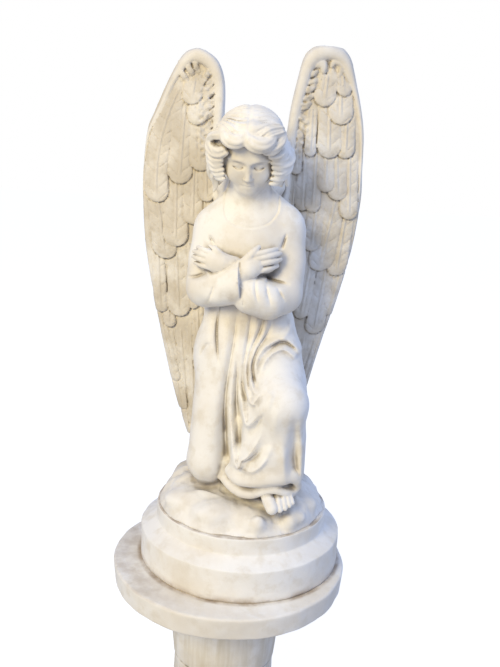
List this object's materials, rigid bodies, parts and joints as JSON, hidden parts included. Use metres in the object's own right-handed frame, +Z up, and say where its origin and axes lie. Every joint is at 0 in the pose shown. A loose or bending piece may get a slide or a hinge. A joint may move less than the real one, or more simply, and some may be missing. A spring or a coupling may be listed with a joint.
{
  "type": "cemetery angel statue",
  "caption": "Kneeling winged angel with hands crossed on the breast, on a rock, a base of round steps and a low round pedestal, in cast stone.",
  "frame": {"origin": "centre of the pedestal's underside, on the pedestal's axis", "axes": "+Z up, the angel faces -Y, +X is to the right of someone facing the angel"},
  "size_m": [0.42, 0.42, 1.2639],
  "materials": {
    "cast_stone": "weathered cream cast stone, matt",
    "pedestal_stone": "weathered cream cast stone, matt, a little coarser"
  },
  "bodies": {
    "root": {"angel": "cast_stone", "stepped_base": "cast_stone", "pedestal": "pedestal_stone"}
  },
  "joints": []
}
